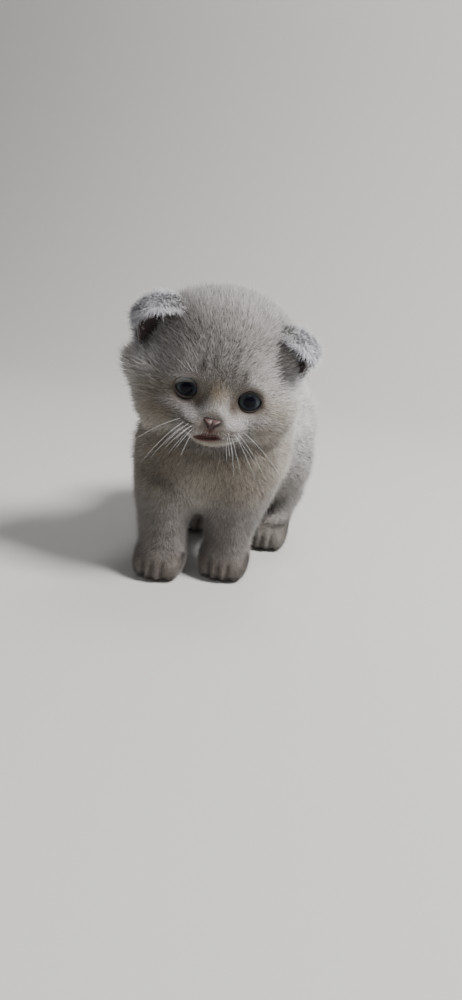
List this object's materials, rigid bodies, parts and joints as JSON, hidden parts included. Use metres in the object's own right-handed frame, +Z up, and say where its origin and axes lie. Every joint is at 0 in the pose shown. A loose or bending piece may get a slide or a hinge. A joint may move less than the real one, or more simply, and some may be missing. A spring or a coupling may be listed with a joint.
{
  "type": "scottish fold kitten",
  "caption": "Life-size young folded-ear kitten in lilac-grey plush coat, standing slightly crouched with its head low and turned to its left.",
  "frame": {"origin": "on the floor, under the middle of the whole kitten's box", "axes": "+Z up; the kitten faces -Y, its left side is +X, and its four soles stand on Z = 0"},
  "size_m": [0.0814, 0.1682, 0.125],
  "materials": {
    "coat": "dense soft plush kitten fur, lilac-grey with a beige undertone, faint darker streaks on the forehead and bars on the legs",
    "pale_coat": "short fine pale fur of the ears and muzzle",
    "nose_leather": "bare moist nose leather and lips, dark pinkish brown",
    "eye": "wet cornea over a dark blue-grey iris",
    "skin": "bare skin inside the ears, on the lids and under the paws",
    "whisker": "stiff pale hair",
    "claw": "pale horn"
  },
  "bodies": {
    "root": {"head": "coat", "nose": "nose_leather", "eye_left": "eye", "eye_right": "eye", "ear_left": "pale_coat", "ear_right": "pale_coat", "foreleg_left": "coat", "forepaw_left": "coat", "hind_leg_left": "coat", "hind_paw_left": "coat", "foreleg_right": "coat", "forepaw_right": "coat", "hind_leg_right": "coat", "hind_paw_right": "coat", "tail": "coat", "neck": "coat", "chest": "coat", "belly": "coat", "rump": "coat"}
  },
  "joints": []
}
